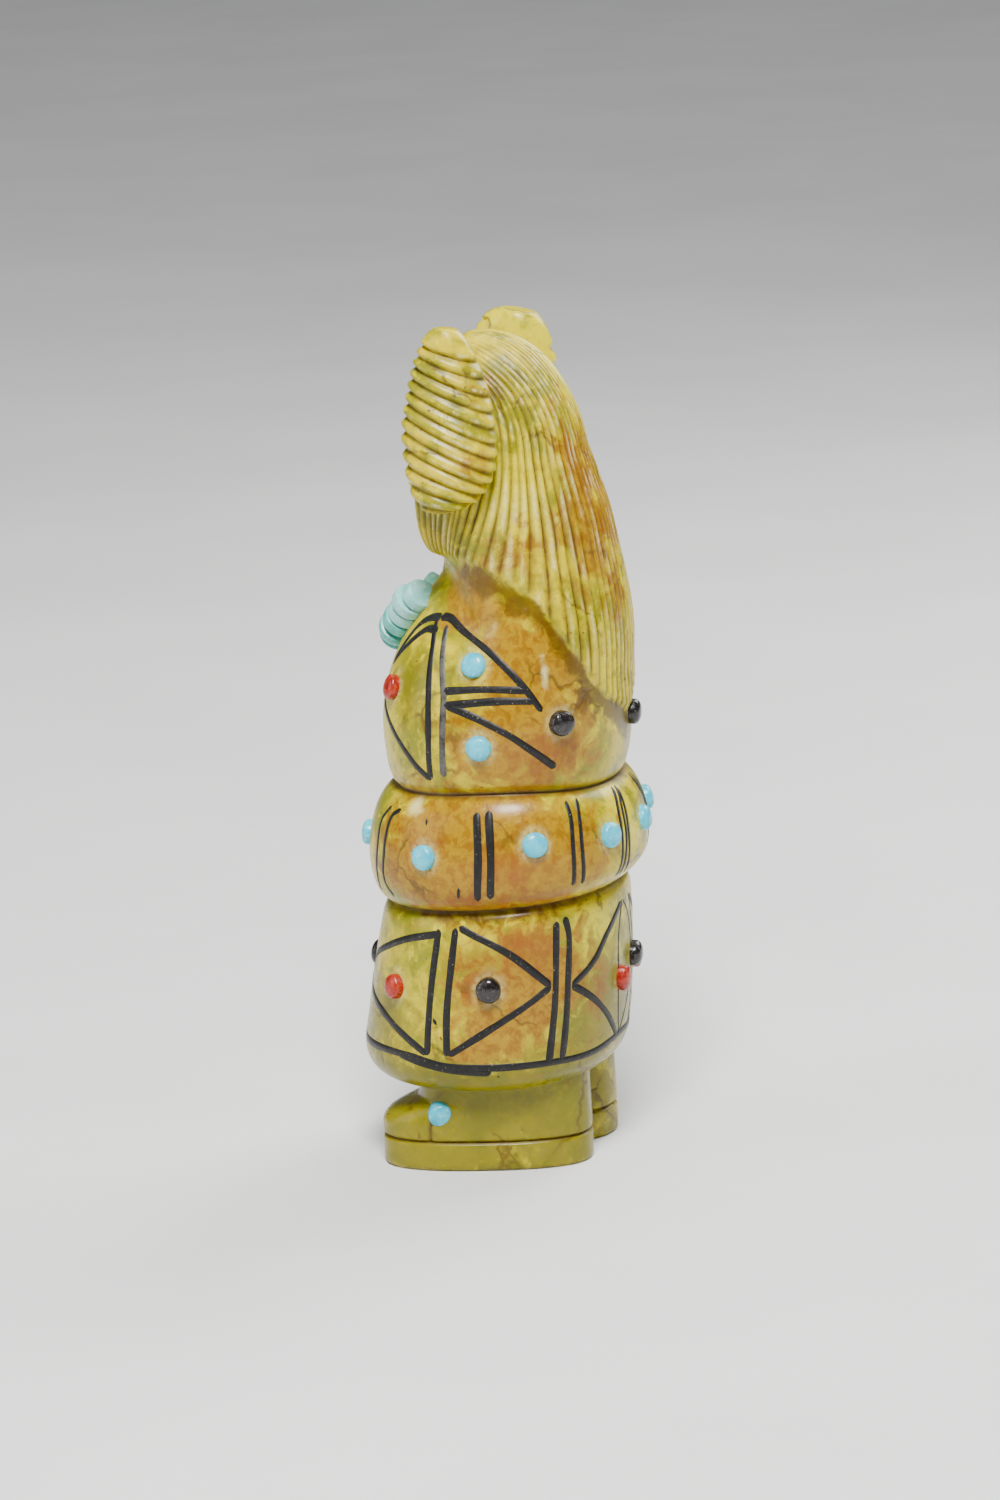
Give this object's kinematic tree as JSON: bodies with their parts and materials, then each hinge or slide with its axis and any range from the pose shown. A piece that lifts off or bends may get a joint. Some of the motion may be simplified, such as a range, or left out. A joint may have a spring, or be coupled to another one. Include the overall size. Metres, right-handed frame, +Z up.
{
  "type": "zuni fetish carving",
  "caption": "Small standing figure carved from one piece of yellow-green stone, with banded skirt, combed hair, side buns and inlays of turquoise, coral and jet.",
  "frame": {"origin": "middle of the underside of the figure's box, on the surface that the soles stand on", "axes": "+Z up, the figure looks along -Y, its left side is +X"},
  "size_m": [0.0388, 0.038, 0.1077],
  "materials": {
    "carved_stone": "polished yellow-green serpentine-like stone with ochre mottling and black-filled lines",
    "turquoise": "smooth sky-blue turquoise",
    "coral": "polished red coral",
    "jet": "polished black jet"
  },
  "bodies": {
    "root": {"band_turquoise_1": "turquoise", "band_turquoise_2": "turquoise", "band_turquoise_3": "turquoise", "band_turquoise_4": "turquoise", "band_turquoise_5": "turquoise", "band_turquoise_6": "turquoise", "band_turquoise_7": "turquoise", "band_turquoise_8": "turquoise", "band_turquoise_9": "turquoise", "carved_stone_figure": "carved_stone", "left_foot_turquoise": "turquoise", "necklace_disc_1": "turquoise", "necklace_disc_10": "turquoise", "necklace_disc_11": "turquoise", "necklace_disc_2": "turquoise", "necklace_disc_3": "turquoise", "necklace_disc_4": "turquoise", "necklace_disc_5": "turquoise", "necklace_disc_6": "turquoise", "necklace_disc_7": "turquoise", "necklace_disc_8": "turquoise", "necklace_disc_9": "turquoise", "right_foot_turquoise": "turquoise", "skirt_coral_1": "coral", "skirt_coral_3": "coral", "skirt_coral_5": "coral", "skirt_coral_7": "coral", "skirt_jet_2": "jet", "skirt_jet_4": "jet", "skirt_jet_6": "jet", "skirt_jet_8": "jet", "torso_coral_3": "coral", "torso_coral_8": "coral", "torso_jet_4": "jet", "torso_jet_5": "jet", "torso_jet_9": "jet", "torso_turquoise_1": "turquoise", "torso_turquoise_2": "turquoise", "torso_turquoise_6": "turquoise", "torso_turquoise_7": "turquoise"}
  },
  "joints": []
}
